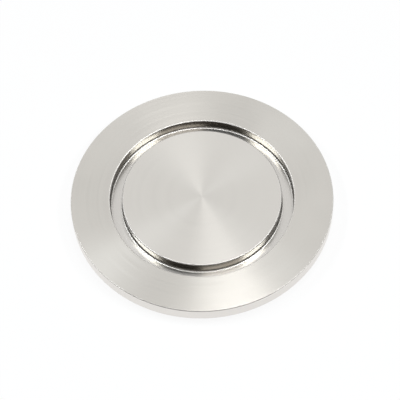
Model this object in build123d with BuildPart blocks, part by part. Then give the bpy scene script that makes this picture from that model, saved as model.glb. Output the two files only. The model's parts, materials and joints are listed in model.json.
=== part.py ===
"""Blind flange for a clamped pipe joint of 50 mm nominal bore, turned in one piece from stainless steel.

The front is a wide flat sealing ring, a ring-shaped groove that takes the spigot of a centring ring,
and a flat centre disc as high as the sealing ring. The back is a 15 degree clamping cone that runs in
from the rim to a flat face, on which the flange lies.

Sizes are in millimetres and angles in degrees. The origin is the middle of the back face, and +Z runs
along the turning axis, out of the front.
"""

from build123d import *

import math
import os

# Rim: its edge is the band that the clamp closes over
rim_diameter = 75.0
rim_edge_height = 4.0

# Back: the cone that the clamp pulls on, and the flat face inside it
clamp_angle = 15.0
back_diameter = 57.0

# Groove in the front: its outer wall locates the centring ring, its inner wall is the centre disc's
groove_diameter = 52.7
groove_width = 3.5
groove_depth = 3.4

# Broken edges of the front: two cut at 45 degrees, and the centre disc's rounded
rim_chamfer = 0.15
groove_chamfer = 0.2
disc_edge_radius = 0.3

# Rounded edges of the back, and the tool's nose radius in the groove's two corners
rim_back_radius = 0.25
back_edge_radius = 0.5
groove_corner_radius = 0.45

# What follows from these
rim_radius = rim_diameter / 2
back_radius = back_diameter / 2
groove_radius = groove_diameter / 2
disc_radius = groove_radius - groove_width
cone_height = (rim_radius - back_radius) * math.tan(math.radians(clamp_angle))
front_height = cone_height + rim_edge_height
front_plane = Plane.XY.offset(front_height)

os.makedirs("parts", exist_ok=True)


with BuildPart() as blind_flange:
    # The blank, as half of its section turned about the axis. The clamping cone's two ends, at the
    # back face and at the rim, are rounded.
    with BuildSketch(Plane.XZ) as blank_section:
        with BuildLine():
            Polyline(
                (0, 0),
                (back_radius, 0),
                (rim_radius, cone_height),
                (rim_radius, front_height),
                (0, front_height),
                close=True,
            )
        make_face()
        back_corner = blank_section.vertices().group_by(Axis.X)[1]
        fillet(back_corner, back_edge_radius)
        rim_corners = blank_section.vertices().group_by(Axis.X)[-1]
        fillet(rim_corners.sort_by(Axis.Y)[0], rim_back_radius)
    revolve(axis=Axis.Z)

    # The groove, which leaves the centre disc standing
    with BuildSketch(front_plane):
        Circle(groove_radius)
        Circle(disc_radius, mode=Mode.SUBTRACT)
    extrude(amount=-groove_depth, mode=Mode.SUBTRACT)

    # Counted from the back, the groove's floor is the second flat face
    groove_floor = blind_flange.faces().filter_by(Axis.Z).sort_by(Axis.Z)[1]
    fillet(groove_floor.edges(), groove_corner_radius)

    # The three sharp edges of the front, from the axis outwards
    front_edges = blind_flange.edges().filter_by(GeomType.CIRCLE).group_by(Axis.Z)[-1]
    disc_edge, groove_edge, rim_edge = front_edges.sort_by(SortBy.RADIUS)
    fillet(disc_edge, disc_edge_radius)
    chamfer(groove_edge, groove_chamfer)
    chamfer(rim_edge, rim_chamfer)

blind_flange.part.label = "blind_flange"
export_step(blind_flange.part, "parts/blind_flange.step")

print(f"front face {front_height:.4f} mm above the back face")
print(f"groove floor {front_height - groove_depth:.4f} mm above the back face")
print(f"volume {blind_flange.part.volume:.1f} cubic mm")
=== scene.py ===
# %% [markdown]
# # A turned blind flange in soft studio light
# The object is one disc of stainless steel, cut on a lathe. It has a flat sealing ring, a ring-shaped
# groove, a centre disc and a cone on the back. Nothing is bolted to it and nothing moves. Its whole look
# comes from how turned steel throws light back, so most of this lesson is about tool marks and the studio.
#
# The solid model gives the frame: where the flange lies and how large it is. We load it first and take
# every size that we can from it.

# %% Load the frame
import json
import math

import bpy
from mathutils import Matrix, Vector


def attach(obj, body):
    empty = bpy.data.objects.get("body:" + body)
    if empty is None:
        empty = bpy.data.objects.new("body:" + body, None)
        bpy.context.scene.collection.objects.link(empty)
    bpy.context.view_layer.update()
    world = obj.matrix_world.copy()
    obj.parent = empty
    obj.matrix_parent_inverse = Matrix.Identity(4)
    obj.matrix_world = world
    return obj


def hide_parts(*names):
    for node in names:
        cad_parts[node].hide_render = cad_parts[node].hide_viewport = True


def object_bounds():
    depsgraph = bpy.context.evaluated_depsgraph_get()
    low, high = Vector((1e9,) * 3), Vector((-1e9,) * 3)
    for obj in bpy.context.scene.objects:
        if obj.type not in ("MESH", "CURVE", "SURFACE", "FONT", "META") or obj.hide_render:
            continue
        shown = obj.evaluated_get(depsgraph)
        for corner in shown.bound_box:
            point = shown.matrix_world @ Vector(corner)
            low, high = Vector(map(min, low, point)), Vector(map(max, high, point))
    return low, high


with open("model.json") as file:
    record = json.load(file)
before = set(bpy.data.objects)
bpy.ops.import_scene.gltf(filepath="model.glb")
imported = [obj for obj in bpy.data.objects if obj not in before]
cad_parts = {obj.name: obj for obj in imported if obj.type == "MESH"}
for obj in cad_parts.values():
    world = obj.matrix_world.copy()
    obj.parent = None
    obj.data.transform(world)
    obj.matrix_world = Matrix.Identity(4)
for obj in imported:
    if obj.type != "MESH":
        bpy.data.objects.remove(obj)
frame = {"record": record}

cad_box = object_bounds()
print("CAD box, m:", [round(high - low, 6) for low, high in zip(*cad_box)])

# %% [markdown]
# ## Sizes
# The rim's radius and the groove's radius stand in the record, as sizes of two mounts, and the front's
# height is that of the CAD box. The remaining sizes of the section are the ones that a lathe operator
# would read off the drawing. They are in millimetres here, times `MM`, because Blender works in metres.
# The last three belong to a small nick in the edge of the centre disc, which the flange has picked up in
# use. The studio's own lengths, further down, are plain metres.

# %% Sizes of the flange
MM = 0.001
mounts = {mount["name"]: mount for mount in frame["record"]["mounts"]}

rim_radius = mounts["rim"]["dims"]["r_mm"] * MM
groove_radius = mounts["centring_groove"]["dims"]["r_mm"] * MM
front_height = cad_box[1].z

SECTION = {
    "Rim Radius": rim_radius,
    "Front Height": front_height,
    "Edge Height": 4.0 * MM,
    "Back Radius": 28.5 * MM,
    "Groove Radius": groove_radius,
    "Groove Width": 3.5 * MM,
    "Groove Depth": 3.4 * MM,
    "Rim Chamfer": 0.15 * MM,
    "Groove Chamfer": 0.2 * MM,
    "Disc Edge Radius": 0.3 * MM,
    "Groove Corner Radius": 0.45 * MM,
    "Rim Back Radius": 0.25 * MM,
    "Back Edge Radius": 0.5 * MM,
    "Soft Edge Radius": 0.04 * MM,
    "Nick Angle": math.radians(261.4),
    "Nick Width": 0.6 * MM,
    "Nick Depth": 0.16 * MM,
}
print("sealing ring is", round((rim_radius - groove_radius) / MM, 2), "mm wide")

# %% [markdown]
# ## A helper for node trees
# We build node trees for the geometry, the steel and the world, and all of them are made the same way: add
# a node, set its options, and give each input either a number or another node's output. One helper does
# that, so that each tree below reads as a list of steps.


# %% Helper for node trees
def give(tree, socket, value):
    """Links an input to another node's output, or sets it to a plain value."""
    if isinstance(value, bpy.types.NodeSocket):
        tree.links.new(value, socket)
    else:
        socket.default_value = value


def put(tree, kind, inputs=None, **options):
    """Adds one node, sets its options and fills its inputs, which are chosen by name or number."""
    node = tree.nodes.new(kind)
    for name, value in options.items():
        setattr(node, name, value)
    for key, value in (inputs or {}).items():
        give(tree, node.inputs[key], value)
    return node


def calculate(tree, operation, first, second=0.0):
    """One Math node, which gives its result's socket."""
    return put(tree, "ShaderNodeMath", {0: first, 1: second}, operation=operation).outputs[0]


# %% [markdown]
# ## Tool marks, for every turned surface
# A lathe tool leaves one continuous spiral, so fine that it reads as rings. We can't see a single ring at
# this size, but we do see bands of rings, because the tool cuts a little deeper or smoother here and there.
#
# A photographed texture would be the quick way, but it would show its seams on a disc. We use noise
# instead, and read it along one line only: the distance that the tool has travelled across the surface.
# On a flat face that is the radius, and on a wall it is the height, so radius plus height serves both.
#
# The group gives a height for a bump, and two masks: the bands, and cloudy patches in which the bands
# show. Outside the patches the marks are shallower, by the share that `Patchiness` says. The group is
# built once, and each finish sets its own pitch.


# %% Node group for tool marks
CLOUDS_PER_METRE = 45.0
PATCH_LOW, PATCH_HIGH = 0.35, 0.65


def noise_along(tree, travel, length, seed, detail, roughness):
    """Noise that changes along the tool's travel only, over about the given length."""
    steps = calculate(tree, "DIVIDE", travel, length)
    place = calculate(tree, "ADD", steps, seed)
    values = {"W": place, "Scale": 1.0, "Detail": detail, "Roughness": roughness}
    return put(tree, "ShaderNodeTexNoise", values, noise_dimensions="1D").outputs["Fac"]


def tool_marks_group():
    """The shader node group that every finish uses."""
    group = bpy.data.node_groups.new("tool_marks", "ShaderNodeTree")
    for name in ("Pitch", "Band Width", "Patchiness", "Seed"):
        group.interface.new_socket(name, in_out="INPUT", socket_type="NodeSocketFloat")
    for name in ("Height", "Bands", "Patches"):
        group.interface.new_socket(name, in_out="OUTPUT", socket_type="NodeSocketFloat")
    given = put(group, "NodeGroupInput").outputs
    place = put(group, "ShaderNodeTexCoord").outputs["Object"]
    axes = put(group, "ShaderNodeSeparateXYZ", {0: place}).outputs
    flat = put(group, "ShaderNodeCombineXYZ", {"X": axes["X"], "Y": axes["Y"]}).outputs[0]
    radius = put(group, "ShaderNodeVectorMath", {0: flat}, operation="LENGTH").outputs["Value"]
    travel = calculate(group, "ADD", radius, axes["Z"])

    seed = given["Seed"]
    fine = noise_along(group, travel, given["Pitch"], seed, detail=2.0, roughness=0.6)
    bands = noise_along(group, travel, given["Band Width"], seed, detail=3.0, roughness=0.65)
    cloud = {"Vector": place, "W": seed, "Scale": CLOUDS_PER_METRE, "Detail": 2.0, "Roughness": 0.5}
    patches = put(group, "ShaderNodeTexNoise", cloud, noise_dimensions="4D").outputs["Fac"]
    spread = {"Value": patches, "From Min": PATCH_LOW, "From Max": PATCH_HIGH}
    mask = put(group, "ShaderNodeMapRange", spread).outputs[0]

    kept = calculate(group, "SUBTRACT", 1.0, given["Patchiness"])
    strength = calculate(group, "ADD", kept, calculate(group, "MULTIPLY", mask, given["Patchiness"]))
    height = calculate(group, "MULTIPLY", calculate(group, "SUBTRACT", fine, 0.5), strength)
    put(group, "NodeGroupOutput", {"Height": height, "Bands": bands, "Patches": mask})
    return group


tool_marks = tool_marks_group()
print("tool_marks puts out", [s.name for s in tool_marks.interface.items_tree if s.in_out == "OUTPUT"])

# %% [markdown]
# ## Turned steel
# Light that meets rings of tool marks is spread across the rings and hardly along them, which gives a
# turned face its bright rays from the middle. Bump alone can't show rays that fine, so the Principled
# shader's anisotropy does it: the Tangent node runs round the turning axis, and a quarter turn lays the
# spread across the marks.
#
# Where the bands and the patches of the tool marks meet, the steel is a little duller and darker. That
# gives the soft strands, each a part of a ring, that a turned face shows. Anisotropy, its rotation and the
# grazing tint are the same all over a surface, so they are plain values on the shader.


# %% Turned steel
BAND_LOW, BAND_HIGH = 0.25, 0.75
QUARTER_TURN = 0.25


def turned_steel(name, color, marks, seed, roughness, anisotropy, depth, uneven, shade=0.95, grazing=1.0):
    """A finish. Its strands reach shade times the colour, and uneven more or less roughness."""
    material = bpy.data.materials.new(name)
    material.use_nodes = True
    tree = material.node_tree
    tree.nodes.clear()
    cut = put(tree, "ShaderNodeGroup", node_tree=tool_marks)
    for key, value in {**marks, "Seed": seed}.items():
        cut.inputs[key].default_value = value
    bands = cut.outputs["Bands"]
    patches = cut.outputs["Patches"]
    swing = {"Value": bands, "From Min": BAND_LOW, "From Max": BAND_HIGH, "To Min": -uneven, "To Max": uneven}
    change = calculate(tree, "MULTIPLY", put(tree, "ShaderNodeMapRange", swing).outputs[0], patches)
    darker = [shade * part for part in color]
    strands = calculate(tree, "MULTIPLY", bands, patches)
    tint = {"Factor": strands, "A": (*color, 1.0), "B": (*darker, 1.0)}
    grooves = {"Height": cut.outputs["Height"], "Strength": 1.0, "Distance": depth}
    steel = {
        "Base Color": put(tree, "ShaderNodeMix", tint, data_type="RGBA").outputs["Result"],
        "Metallic": 1.0,
        "Roughness": calculate(tree, "ADD", roughness, change),
        "Anisotropic": anisotropy,
        "Anisotropic Rotation": QUARTER_TURN,
        # a grazing tint below 1 paints shade where we look along a surface; only the groove's walls get one
        "Specular Tint": (grazing, grazing, grazing, 1.0),
        "Normal": put(tree, "ShaderNodeBump", grooves).outputs[0],
        "Tangent": put(tree, "ShaderNodeTangent", direction_type="RADIAL", axis="Z").outputs[0],
    }
    shader = put(tree, "ShaderNodeBsdfPrincipled", steel).outputs[0]
    put(tree, "ShaderNodeOutputMaterial", {"Surface": shader})
    return material


# %% [markdown]
# ## The flange's finishes
# All surfaces are the same steel. They differ in how they were cut, and in the light and shade painted into
# some of their colours. The sealing ring and the disc are fine facing cuts, with strong anisotropy. The
# groove was cut by a narrow tool: its floor spreads the light almost as a face does, and its two walls,
# rubbed by the tool's sides, are smoother. The walls' darkness is partly the tent's dark opening mirrored in
# them,
# and partly painted shade: their colour is far darker than the steel, and a low grazing tint darkens them
# most where we look along them. The groove's corners, its mouth and the edges of the disc and the rim are
# satin: they are so narrow that a sharp highlight on them would break up into dots. Painted shade makes the
# groove's corners, the rim's chamfer and the disc's rounded edge darker than the steel, and painted light
# makes the groove's mouth and the rim's outer side lighter. The back is a coarser cut, because nothing seals
# on it.

# %% Marks and colours of the finishes
FACE_MARKS = {"Pitch": 0.35 * MM, "Band Width": 2.4 * MM, "Patchiness": 0.6}
GROOVE_MARKS = {"Pitch": 0.3 * MM, "Band Width": 1.2 * MM, "Patchiness": 0.4}
EDGE_MARKS = {"Pitch": 0.25 * MM, "Band Width": 1.0 * MM, "Patchiness": 0.4}
BACK_MARKS = {"Pitch": 0.5 * MM, "Band Width": 3.0 * MM, "Patchiness": 0.5}

PLAIN = (0.64, 0.62, 0.59)
RING = (0.62, 0.60, 0.562)
DISC = (0.66, 0.64, 0.603)
# painted shade: the groove's walls get a colour far darker than the steel
WALL_PAINTED_SHADE = (0.17, 0.156, 0.136)
# painted shade: the groove's corners and the rim's chamfer get a colour darker than the steel
CORNER_PAINTED_SHADE = (0.50, 0.48, 0.455)
# painted shade: the disc's rounded edge gets a colour darker than the steel, which dims the highlight it
# catches
LIP_PAINTED_SHADE = (0.47, 0.45, 0.43)
# painted light: the groove's mouth and the rim's outer side get a colour lighter than the steel
EDGE_PAINTED_LIGHT = (0.81, 0.78, 0.745)
print("finest pitch of the marks, mm:", round(EDGE_MARKS["Pitch"] / MM, 2))

# %% [markdown]
# The finishes follow, each with its own seed, so that no two surfaces have their strands in the same
# place. `depth` is the height of the marks in the bump.

# %% Finishes
ring_steel = turned_steel(
    "ring_steel", RING, FACE_MARKS, seed=3,
    roughness=0.207, anisotropy=0.85, depth=0.0008 * MM, uneven=0.05, shade=0.86,
)
disc_steel = turned_steel(
    "disc_steel", DISC, FACE_MARKS, seed=7,
    roughness=0.175, anisotropy=0.85, depth=0.0003 * MM, uneven=0.004,
)
# painted shade on the groove's walls: a dark colour, and a grazing tint of 0.6 that darkens them most where
# we look along them
wall_steel_painted_shade = turned_steel(
    "wall_steel_painted_shade", WALL_PAINTED_SHADE, GROOVE_MARKS, seed=11,
    roughness=0.08, anisotropy=0.5, depth=0.0003 * MM, uneven=0.01, grazing=0.6,
)
floor_steel = turned_steel(
    "floor_steel", PLAIN, GROOVE_MARKS, seed=17,
    roughness=0.24, anisotropy=0.68, depth=0.0005 * MM, uneven=0.02,
)
# painted shade: the groove's corners are darker than the rest of the steel
corner_steel_painted_shade = turned_steel(
    "corner_steel_painted_shade", CORNER_PAINTED_SHADE, GROOVE_MARKS, seed=19,
    roughness=0.4, anisotropy=0.0, depth=0.0003 * MM, uneven=0.02,
)
# painted shade: the disc's rounded edge is darker than the rest of the steel
lip_steel_painted_shade = turned_steel(
    "lip_steel_painted_shade", LIP_PAINTED_SHADE, EDGE_MARKS, seed=29,
    roughness=0.5, anisotropy=0.0, depth=0.0003 * MM, uneven=0.02,
)
# painted light: the groove's mouth and the brim's soft edge are lighter than the rest of the steel
mouth_steel_painted_light = turned_steel(
    "mouth_steel_painted_light", EDGE_PAINTED_LIGHT, EDGE_MARKS, seed=41,
    roughness=0.5, anisotropy=0.0, depth=0.0003 * MM, uneven=0.02,
)
# painted shade: the rim's chamfer is darker than the rest of the steel
chamfer_steel_painted_shade = turned_steel(
    "chamfer_steel_painted_shade", CORNER_PAINTED_SHADE, EDGE_MARKS, seed=31,
    roughness=0.18, anisotropy=0.5, depth=0.0003 * MM, uneven=0.01,
)
# painted light: the rim's outer side is lighter than the rest of the steel
edge_steel_painted_light = turned_steel(
    "edge_steel_painted_light", EDGE_PAINTED_LIGHT, EDGE_MARKS, seed=23,
    roughness=0.34, anisotropy=0.6, depth=0.001 * MM, uneven=0.03,
)
back_steel = turned_steel(
    "back_steel", PLAIN, BACK_MARKS, seed=37,
    roughness=0.45, anisotropy=0.8, depth=0.002 * MM, uneven=0.04,
)
print("finishes:", [m.name for m in bpy.data.materials])

# %% [markdown]
# ## The flange's section, turned
# The real flange is a section swept round an axis, and that is how we make it. We could spin a drawn
# outline by hand, but a Geometry Nodes tree keeps every size as a named input, and makes the corners from
# them. Its steps are: lay out the section's corners on a line, round each corner by its own radius, sweep
# the section round a circle, and merge the points that meet on the axis, which closes both poles.
#
# First come the corners, numbered from the middle of the front outwards and round to the middle of the
# back. The brim is where the sealing ring ends, at the rim's chamfer. Sharp edges don't exist on steel, so
# even those that aren't rounded get a soft edge.


# %% Corners of the section
FRONT_MIDDLE, DISC_EDGE, INNER_CORNER, OUTER_CORNER = 0, 1, 2, 3
MOUTH_FOOT, MOUTH, BRIM, BRIM_FOOT = 4, 5, 6, 7
RIM_BACK, BACK_EDGE, BACK_MIDDLE = 8, 9, 10

UNROUNDED = (0.0, 1)
SOFT_STEPS, NOSE_STEPS, EDGE_STEPS, BACK_STEPS = 3, 8, 6, 4


def section_corners(tree, given):
    """For each corner its distance from the axis, height, radius of rounding and steps in the rounding."""
    rim = given["Rim Radius"]
    front = given["Front Height"]
    groove = given["Groove Radius"]
    soft_edge = (given["Soft Edge Radius"], SOFT_STEPS)
    nose = (given["Groove Corner Radius"], NOSE_STEPS)
    disc = calculate(tree, "SUBTRACT", groove, given["Groove Width"])
    floor = calculate(tree, "SUBTRACT", front, given["Groove Depth"])
    edge = calculate(tree, "SUBTRACT", front, given["Edge Height"])
    mouth = calculate(tree, "ADD", groove, given["Groove Chamfer"])
    mouth_foot = calculate(tree, "SUBTRACT", front, given["Groove Chamfer"])
    brim = calculate(tree, "SUBTRACT", rim, given["Rim Chamfer"])
    brim_foot = calculate(tree, "SUBTRACT", front, given["Rim Chamfer"])
    corners = {
        FRONT_MIDDLE: (0.0, front, *UNROUNDED),
        DISC_EDGE: (disc, front, given["Disc Edge Radius"], EDGE_STEPS),
        INNER_CORNER: (disc, floor, *nose),
        OUTER_CORNER: (groove, floor, *nose),
        MOUTH_FOOT: (groove, mouth_foot, *soft_edge),
        MOUTH: (mouth, front, *soft_edge),
        BRIM: (brim, front, *soft_edge),
        BRIM_FOOT: (rim, brim_foot, *soft_edge),
        RIM_BACK: (rim, edge, given["Rim Back Radius"], EDGE_STEPS),
        BACK_EDGE: (given["Back Radius"], 0.0, given["Back Edge Radius"], BACK_STEPS),
        BACK_MIDDLE: (0.0, 0.0, *UNROUNDED),
    }
    return [corners[number] for number in range(len(corners))]


print("corners in the section:", BACK_MIDDLE + 1)

# %% [markdown]
# ## Round the corners and sweep
# An Index Switch gives each point of a plain line the values of its own corner. It starts with two items,
# and we add the rest. The circle that the section follows is as wide as the rim, so distances are measured
# from the rim, and the section's Y points down. Points on the axis that lie within `POLE_REACH` of each
# other become one.
#
# Each corner's number is captured before the rounding. A face between corners 2 and 3 then carries a number
# between 2 and 3, and the rounding of corner 3 carries 3 exactly, so the finishes can be given out by number.


# %% Swept section
POLE_REACH = 0.001 * MM
ITEMS_AT_FIRST = 2


def swept_section(tree, given):
    """The turned flange, closed at its poles, and the socket that gives each face's corner number."""
    number = put(tree, "GeometryNodeInputIndex").outputs[0]
    distances, heights, radii, steps = zip(*section_corners(tree, given))

    def by_corner(values, data_type):
        switch = put(tree, "GeometryNodeIndexSwitch", {"Index": number}, data_type=data_type)
        for _ in values[ITEMS_AT_FIRST:]:
            switch.index_switch_items.new()
        for socket, value in zip(list(switch.inputs)[1:], values):
            give(tree, socket, value)
        return switch.outputs[0]

    outward = calculate(tree, "SUBTRACT", by_corner(distances, "FLOAT"), given["Rim Radius"])
    downward = calculate(tree, "MULTIPLY", by_corner(heights, "FLOAT"), -1.0)
    place = put(tree, "ShaderNodeCombineXYZ", {"X": outward, "Y": downward}).outputs[0]
    line = put(tree, "GeometryNodeMeshLine", {"Count": len(steps)}).outputs[0]
    placed = put(tree, "GeometryNodeSetPosition", {"Geometry": line, "Position": place}).outputs[0]
    section = put(tree, "GeometryNodeMeshToCurve", {"Mesh": placed}).outputs[0]
    capture = put(tree, "GeometryNodeCaptureAttribute", {"Geometry": section}, domain="POINT")
    capture.capture_items.new("FLOAT", "corner")
    tree.links.new(number, capture.inputs["corner"])
    rounding = {
        "Curve": capture.outputs[0],
        "Count": by_corner(steps, "INT"),
        "Radius": by_corner(radii, "FLOAT"),
    }
    rounded = put(tree, "GeometryNodeFilletCurve", rounding, mode="POLY").outputs[0]
    circle = {"Resolution": given["Segments"], "Radius": given["Rim Radius"]}
    path = put(tree, "GeometryNodeCurvePrimitiveCircle", circle).outputs[0]
    swept = put(tree, "GeometryNodeCurveToMesh", {"Curve": path, "Profile Curve": rounded}).outputs[0]
    poles = {"Geometry": swept, "Distance": POLE_REACH}
    return put(tree, "GeometryNodeMergeByDistance", poles).outputs[0], capture.outputs["corner"]


# %% [markdown]
# ## The nick
# Something has knocked the rounded edge of the centre disc. We could cut the dent out with a boolean, but
# the mesh is fine enough to push: the points inside a small sphere round the middle of the rounded edge go
# inwards and down, most at its centre and not at all at its skin. `SLANT` is the cosine of 45 degrees: the
# middle of the rounded edge lies in that direction from the rounding's centre, and the push goes the same
# way.


# %% Nick
SLANT = math.sqrt(0.5)


def nicked(tree, given, geometry):
    """The geometry with its nick."""
    disc = calculate(tree, "SUBTRACT", given["Groove Radius"], given["Groove Width"])
    inset = calculate(tree, "MULTIPLY", given["Disc Edge Radius"], 1.0 - SLANT)
    radius = calculate(tree, "SUBTRACT", disc, inset)
    cosine = calculate(tree, "COSINE", given["Nick Angle"])
    sine = calculate(tree, "SINE", given["Nick Angle"])
    middle = {
        "X": calculate(tree, "MULTIPLY", cosine, radius),
        "Y": calculate(tree, "MULTIPLY", sine, radius),
        "Z": calculate(tree, "SUBTRACT", given["Front Height"], inset),
    }
    inward = {
        "X": calculate(tree, "MULTIPLY", cosine, -1.0),
        "Y": calculate(tree, "MULTIPLY", sine, -1.0),
        "Z": -1.0,
    }
    centre = put(tree, "ShaderNodeCombineXYZ", middle).outputs[0]
    push = put(tree, "ShaderNodeCombineXYZ", inward).outputs[0]
    here = put(tree, "GeometryNodeInputPosition").outputs[0]
    away = put(tree, "ShaderNodeVectorMath", {0: here, 1: centre}, operation="DISTANCE").outputs["Value"]
    fade = {
        "Value": away,
        "From Min": 0.0,
        "From Max": calculate(tree, "MULTIPLY", given["Nick Width"], 0.5),
        "To Min": calculate(tree, "MULTIPLY", given["Nick Depth"], SLANT),
        "To Max": 0.0,
    }
    amount = put(tree, "ShaderNodeMapRange", fade, interpolation_type="SMOOTHSTEP").outputs[0]
    offset = put(tree, "ShaderNodeVectorMath", {0: push, "Scale": amount}, operation="SCALE").outputs[0]
    return put(tree, "GeometryNodeSetPosition", {"Geometry": geometry, "Offset": offset}).outputs[0]


# %% [markdown]
# ## Give out the finishes
# The whole flange first gets the ring's finish. Then each row of a short table gives the faces between two
# corner numbers their own. A number a hair past a corner, or a hair short of it, leaves out the corner's
# rounding.


# %% Finishes by corner number
A_HAIR = 0.01

FINISHES = (
    (FRONT_MIDDLE, DISC_EDGE - A_HAIR, disc_steel),
    (DISC_EDGE, DISC_EDGE, lip_steel_painted_shade),
    (DISC_EDGE + A_HAIR, INNER_CORNER - A_HAIR, wall_steel_painted_shade),
    (INNER_CORNER, INNER_CORNER, corner_steel_painted_shade),
    (INNER_CORNER + A_HAIR, OUTER_CORNER - A_HAIR, floor_steel),
    (OUTER_CORNER, OUTER_CORNER, corner_steel_painted_shade),
    (OUTER_CORNER + A_HAIR, MOUTH_FOOT - A_HAIR, wall_steel_painted_shade),
    (MOUTH_FOOT, MOUTH, mouth_steel_painted_light),
    (BRIM, BRIM, mouth_steel_painted_light),
    (BRIM + A_HAIR, BRIM_FOOT - A_HAIR, chamfer_steel_painted_shade),
    (BRIM_FOOT, RIM_BACK - A_HAIR, edge_steel_painted_light),
    (RIM_BACK, BACK_MIDDLE, back_steel),
)


def dressed(tree, geometry, corner_number):
    """The geometry with a finish on every face."""
    coat = {"Geometry": geometry, "Material": ring_steel}
    geometry = put(tree, "GeometryNodeSetMaterial", coat).outputs[0]
    for low, high, steel in FINISHES:
        from_low = {"A": corner_number, "B": low}
        to_high = {"A": corner_number, "B": high}
        above = put(tree, "FunctionNodeCompare", from_low, operation="GREATER_EQUAL").outputs[0]
        below = put(tree, "FunctionNodeCompare", to_high, operation="LESS_EQUAL").outputs[0]
        here = put(tree, "FunctionNodeBooleanMath", {0: above, 1: below}, operation="AND").outputs[0]
        coat = {"Geometry": geometry, "Selection": here, "Material": steel}
        geometry = put(tree, "GeometryNodeSetMaterial", coat).outputs[0]
    return geometry


print("rows in the table of finishes:", len(FINISHES))

# %% [markdown]
# ## The whole tree
# Each size becomes an input of the tree under its own name, and the number of steps round the axis is one
# more. Set Material is the tree's last step, after the one that makes any instances real.


# %% The whole tree
def turned_section_tree():
    """The Geometry Nodes tree that turns, nicks, smooths and dresses the flange."""
    tree = bpy.data.node_groups.new("turned_section", "GeometryNodeTree")
    tree.interface.new_socket("Geometry", in_out="INPUT", socket_type="NodeSocketGeometry")
    for name in SECTION:
        tree.interface.new_socket(name, in_out="INPUT", socket_type="NodeSocketFloat")
    tree.interface.new_socket("Segments", in_out="INPUT", socket_type="NodeSocketInt")
    tree.interface.new_socket("Geometry", in_out="OUTPUT", socket_type="NodeSocketGeometry")
    given = put(tree, "NodeGroupInput").outputs
    turned, corner_number = swept_section(tree, given)
    smooth = put(tree, "GeometryNodeSetShadeSmooth", {"Geometry": nicked(tree, given, turned)}).outputs[0]
    real = put(tree, "GeometryNodeRealizeInstances", {"Geometry": smooth}).outputs[0]
    put(tree, "NodeGroupOutput", {"Geometry": dressed(tree, real, corner_number)})
    return tree


section_tree = turned_section_tree()
print("turned_section has", len(section_tree.nodes), "nodes")

# %% [markdown]
# ## Turn the flange
# The tree hangs on an object as a modifier. Each input is set by its socket's identifier, before the
# object is evaluated for the first time. A Weighted Normal modifier follows: it lets the large flat faces
# decide the shading where they meet a small rounding, so that a flat face stays flat to the light. Both are
# then turned into a plain mesh.

# %% Turn the flange
CIRCLE_SEGMENTS = 720
FLAT_FACES_DECIDE = 100
CM = 10 * MM


def turn_flange():
    """Runs the tree on an empty mesh and keeps the result as the flange's own mesh."""
    blank = bpy.data.objects.new("flange_blank", bpy.data.meshes.new("flange_blank"))
    bpy.context.scene.collection.objects.link(blank)
    modifier = blank.modifiers.new("turned_section", "NODES")
    modifier.node_group = section_tree
    values = {**SECTION, "Segments": CIRCLE_SEGMENTS}
    for socket in section_tree.interface.items_tree:
        if socket.in_out == "INPUT" and socket.name in values:
            modifier[socket.identifier] = values[socket.name]
    shading = blank.modifiers.new("flat_faces_lead", "WEIGHTED_NORMAL")
    shading.weight = FLAT_FACES_DECIDE
    graph = bpy.context.evaluated_depsgraph_get()
    mesh = bpy.data.meshes.new_from_object(blank.evaluated_get(graph), depsgraph=graph)
    bpy.data.objects.remove(blank)
    mesh.name = "turned_flange"
    piece = bpy.data.objects.new("turned_flange", mesh)
    bpy.context.scene.collection.objects.link(piece)
    return piece


def volume_of(mesh):
    """Volume inside a closed mesh. It is positive when the faces point outwards."""
    mesh.calc_loop_triangles()
    triangles = [[mesh.vertices[v].co for v in t.vertices] for t in mesh.loop_triangles]
    six_times = sum(a.dot(b.cross(c)) for a, b, c in triangles)
    return six_times / 6


flange = turn_flange()
print("volume, cubic cm:", round(volume_of(flange.data) / CM**3, 2))
print("triangles:", len(flange.data.loop_triangles), "finishes:", len(flange.data.materials))

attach(flange, "root")
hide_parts("blind_flange")

# %% [markdown]
# ## Floor
# The flange lies on a plain pale floor. To the camera, and in the steel's reflections, it glows like white
# paper with light behind it. A tenth of what they see is the lit surface itself, which keeps the flange's
# soft shadow on it. The floor lies a hair below the flange's back, and its underside is clear, so that we
# can look at the back from below.


# %% Floor
FLOOR_HALF_WIDTH = 1.2
FLOOR_GAP = 0.02 * MM
GLOW_SHARE = 0.9
PAPER = (0.8, 0.8, 0.8, 1.0)
WHITE = (1.0, 1.0, 1.0, 1.0)


def white_paper():
    """Paper that glows to the camera and in the steel, and is clear from below."""
    paper = bpy.data.materials.new("white_paper")
    paper.use_nodes = True
    tree = paper.node_tree
    tree.nodes.clear()
    ray = put(tree, "ShaderNodeLightPath").outputs
    seen = calculate(tree, "MAXIMUM", ray["Is Camera Ray"], ray["Is Glossy Ray"])
    seen = calculate(tree, "MAXIMUM", seen, ray["Is Transmission Ray"])
    share = calculate(tree, "MULTIPLY", seen, GLOW_SHARE)
    paint = put(tree, "ShaderNodeBsdfDiffuse", {"Color": PAPER}).outputs[0]
    glow = put(tree, "ShaderNodeEmission", {"Color": WHITE, "Strength": 1.0}).outputs[0]
    upper = put(tree, "ShaderNodeMixShader", {0: share, 1: paint, 2: glow}).outputs[0]
    clear = put(tree, "ShaderNodeBsdfTransparent").outputs[0]
    below = put(tree, "ShaderNodeNewGeometry").outputs["Backfacing"]
    sheet = put(tree, "ShaderNodeMixShader", {0: below, 1: upper, 2: clear}).outputs[0]
    put(tree, "ShaderNodeOutputMaterial", {"Surface": sheet})
    return paper


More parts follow.
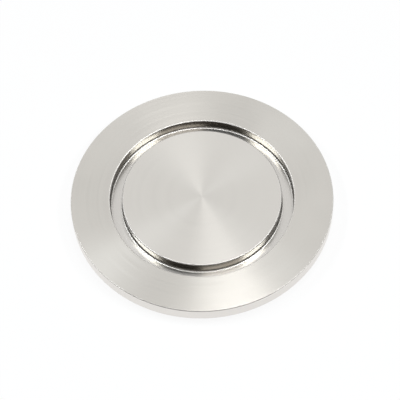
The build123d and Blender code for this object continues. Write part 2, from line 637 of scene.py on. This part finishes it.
def make_floor():
    """One square of paper, which isn't part of the flange."""
    mesh = bpy.data.meshes.new("floor")
    span = (-FLOOR_HALF_WIDTH, FLOOR_HALF_WIDTH)
    mesh.from_pydata([(x, y, -FLOOR_GAP) for x in span for y in span], [], [(0, 2, 3, 1)])
    mesh.materials.append(white_paper())
    floor = bpy.data.objects.new("floor", mesh)
    bpy.context.scene.collection.objects.link(floor)


make_floor()
print("floor, m:", 2 * FLOOR_HALF_WIDTH, "each way")

# %% [markdown]
# ## Light tent
# Shiny steel shows the room, so the room matters as much as the finish. The flange stands in a white light
# tent, and the tent is the world. To the camera it is plain white. To the steel it is white with a dark
# opening on the camera's left, and a dim low stretch on its right. The groove's walls mirror these two, by
# way of its floor, and so does the rim's chamfer. Both start well above the floor, so the flange is bright
# from behind as well.
#
# Bearings and heights are in degrees. `UP_TO_THE_TOP` lies past the zenith, so that the dark opening
# doesn't fade before it gets there.


# %% Stretches of the tent
UP_TO_THE_TOP = 120
DARK_BEARING = (-62, -6)
DARK_HEIGHT = (22, UP_TO_THE_TOP)
DARK = (0.004, 0.003, 0.002, 1.0)
DIM_BEARING = (-6, 50)
DIM_HEIGHT = (22, 44)
DIM = (0.08, 0.075, 0.07, 1.0)
DARK_FADE_ACROSS, DIM_FADE_ACROSS, FADE_UP = 10, 12, 8


def between(tree, value, limits, blend):
    """A mask that is 1 between two limits and fades to 0 over blend at each of them."""
    low, high = limits
    rise = {"Value": value, "From Min": low - blend / 2, "From Max": low + blend / 2}
    fall = {"Value": value, "From Min": high + blend / 2, "From Max": high - blend / 2}
    up = put(tree, "ShaderNodeMapRange", rise, interpolation_type="SMOOTHSTEP").outputs[0]
    down = put(tree, "ShaderNodeMapRange", fall, interpolation_type="SMOOTHSTEP").outputs[0]
    return calculate(tree, "MULTIPLY", up, down)


def tent_color(tree):
    """The colour of the tent in each direction, as the steel mirrors it."""
    direction = put(tree, "ShaderNodeTexCoord").outputs["Generated"]
    axes = put(tree, "ShaderNodeSeparateXYZ", {0: direction}).outputs
    towards = calculate(tree, "MULTIPLY", axes["Y"], -1.0)
    bearing = calculate(tree, "DEGREES", calculate(tree, "ARCTAN2", axes["X"], towards))
    height = calculate(tree, "DEGREES", calculate(tree, "ARCSINE", axes["Z"]))
    pale = WHITE
    stretches = (
        (DIM_BEARING, DIM_FADE_ACROSS, DIM_HEIGHT, DIM),
        (DARK_BEARING, DARK_FADE_ACROSS, DARK_HEIGHT, DARK),
    )
    for bearings, fade_across, heights, color in stretches:
        across = between(tree, bearing, bearings, fade_across)
        up = between(tree, height, heights, FADE_UP)
        blend = {"Factor": calculate(tree, "MULTIPLY", across, up), "A": pale, "B": color}
        pale = put(tree, "ShaderNodeMix", blend, data_type="RGBA").outputs["Result"]
    return pale


print("dark opening from bearing", DARK_BEARING[0], "to", DARK_BEARING[1], "degrees")

# %% [markdown]
# The world shows three things, which Light Path tells apart: plain white to the camera, the tent's colours
# to the steel, and a weak fill to matt surfaces, which get the rest of their light from the lamps.

# %% World
FILL = 0.15


def make_world():
    """The light tent as the scene's world."""
    world = bpy.data.worlds.new("light_tent")
    world.use_nodes = True
    bpy.context.scene.world = world
    tree = world.node_tree
    tree.nodes.clear()
    ray = put(tree, "ShaderNodeLightPath").outputs
    mirrored = put(tree, "ShaderNodeBackground", {"Color": tent_color(tree), "Strength": 1.0}).outputs[0]
    seen = put(tree, "ShaderNodeBackground", {"Color": WHITE, "Strength": 1.0}).outputs[0]
    fill = put(tree, "ShaderNodeBackground", {"Color": WHITE, "Strength": FILL}).outputs[0]
    by_steel = {0: ray["Is Glossy Ray"], 1: fill, 2: mirrored}
    room = put(tree, "ShaderNodeMixShader", by_steel).outputs[0]
    through = calculate(tree, "MAXIMUM", ray["Is Camera Ray"], ray["Is Transmission Ray"])
    final = put(tree, "ShaderNodeMixShader", {0: through, 1: room, 2: seen}).outputs[0]
    put(tree, "ShaderNodeOutputWorld", {"Surface": final})


make_world()
print("world:", bpy.context.scene.world.name)

# %% [markdown]
# ## Lamps
# Four softboxes face the flange. A turned face mirrors a lamp as a ray from its middle, in the direction
# halfway between the lamp and the camera. The top one stands almost where the faces mirror the camera, and
# gives them their broad bright ray. The left and right ones give the four bright patches in the groove.
# They are narrow, so that they leave only faint rays on the faces. The front one lights the groove's walls
# to the right of their darkest place.
#
# What matters for steel is how bright a lamp looks, its radiance. Its power follows from that and its area.


# %% Lamps
LAMP_DISTANCE = 0.6
COOL_WHITE = (0.9, 0.96, 1.0)
PURE_WHITE = (1.0, 1.0, 1.0)


def soft_lamp(name, bearing, height, width, tall, radiance, color):
    """A softbox that faces the flange. Bearing 0 is the camera's side and 90 the right."""
    light = bpy.data.lights.new(name, "AREA")
    light.shape = "RECTANGLE"
    light.size = width
    light.size_y = tall
    light.energy = radiance * math.pi * width * tall
    light.color = color
    lamp = bpy.data.objects.new(name, light)
    turn = math.radians(bearing)
    rise = math.radians(height)
    out = Vector((math.sin(turn) * math.cos(rise), -math.cos(turn) * math.cos(rise), math.sin(rise)))
    lamp.location = out * LAMP_DISTANCE
    lamp.rotation_euler = (-out).to_track_quat("-Z", "Y").to_euler()
    bpy.context.scene.collection.objects.link(lamp)
    print(name, round(light.energy, 2), "W")


soft_lamp(
    "top_softbox", bearing=124, height=84, width=0.11, tall=0.19, radiance=14.5, color=PURE_WHITE,
)
soft_lamp(
    "front_softbox", bearing=27, height=57, width=0.36, tall=0.12, radiance=4.1, color=PURE_WHITE,
)
soft_lamp(
    "left_softbox", bearing=-93, height=57, width=0.28, tall=0.08, radiance=25, color=COOL_WHITE,
)
soft_lamp(
    "right_softbox", bearing=75, height=57, width=0.22, tall=0.08, radiance=27, color=COOL_WHITE,
)

# %% [markdown]
# ## Camera
# The flange's rim is an ellipse in the picture. Its height over its width gives the camera's elevation, and
# how much larger the near half looks than the far half gives the distance: about six flange widths. The
# picture is also turned a little anticlockwise. The lens is given by its focal length in pixels, and the
# small shift puts the flange where the picture has it.

# %% Camera
ELEVATION = math.radians(57.18)
ROLL = math.radians(2.54)
DISTANCE = 12 * rim_radius
FOCAL_PIXELS = 1575.8
IMAGE_PIXELS = 400
MIDDLE_PIXEL = (201.83, 196.02)
SENSOR_WIDTH = 36.0
NEAREST_SEEN = 10 * MM


def make_camera():
    """The camera, aimed at the middle of the front and then shifted."""
    lens = bpy.data.cameras.new("camera")
    lens.sensor_width = SENSOR_WIDTH
    lens.lens = FOCAL_PIXELS / IMAGE_PIXELS * SENSOR_WIDTH
    lens.shift_x = (IMAGE_PIXELS / 2 - MIDDLE_PIXEL[0]) / IMAGE_PIXELS
    lens.shift_y = (MIDDLE_PIXEL[1] - IMAGE_PIXELS / 2) / IMAGE_PIXELS
    lens.clip_start = NEAREST_SEEN
    camera = bpy.data.objects.new("camera", lens)
    back = Vector((0, -math.cos(ELEVATION), math.sin(ELEVATION)))
    camera.location = Vector((0, 0, front_height)) + back * DISTANCE
    upright = (-back).to_track_quat("-Z", "Y").to_matrix()
    camera.rotation_euler = (upright @ Matrix.Rotation(-ROLL, 3, "Z")).to_euler()
    bpy.context.scene.collection.objects.link(camera)
    bpy.context.scene.camera = camera
    print("lens, mm:", round(lens.lens, 1), "distance, m:", round(DISTANCE, 3))


make_camera()
bpy.context.scene.view_settings.view_transform = "Standard"
